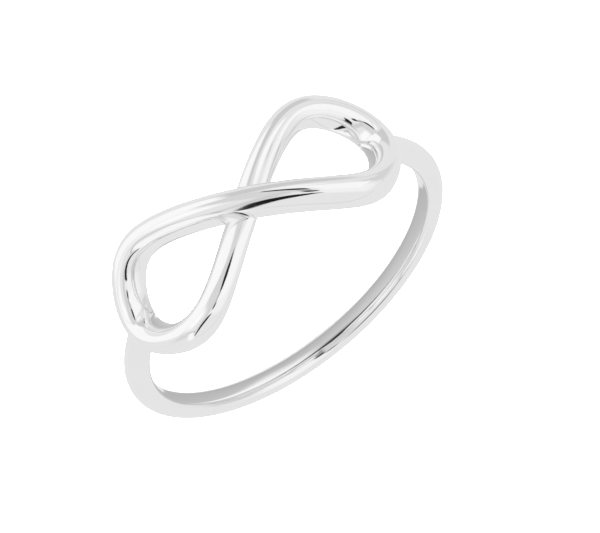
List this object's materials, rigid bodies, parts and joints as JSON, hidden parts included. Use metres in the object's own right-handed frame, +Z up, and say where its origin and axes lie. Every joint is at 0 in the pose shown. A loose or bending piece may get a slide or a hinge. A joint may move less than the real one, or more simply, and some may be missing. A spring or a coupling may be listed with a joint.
{
  "type": "infinity ring",
  "caption": "Slim polished silver finger ring whose front is a figure eight, one strand crossing over and under itself.",
  "frame": {"origin": "on the surface that the ring lies on, under the middle of its bounding box", "axes": "+Z up from the surface, with the finger's axis about 10 degrees from it; -Y towards the figure eight; +X along the figure eight"},
  "size_m": [0.0198, 0.02, 0.0072],
  "materials": {
    "polished_silver": "bright polished silver with faint polishing lines and a softer inner face"
  },
  "bodies": {
    "root": {"infinity_ring": "polished_silver"}
  },
  "joints": []
}
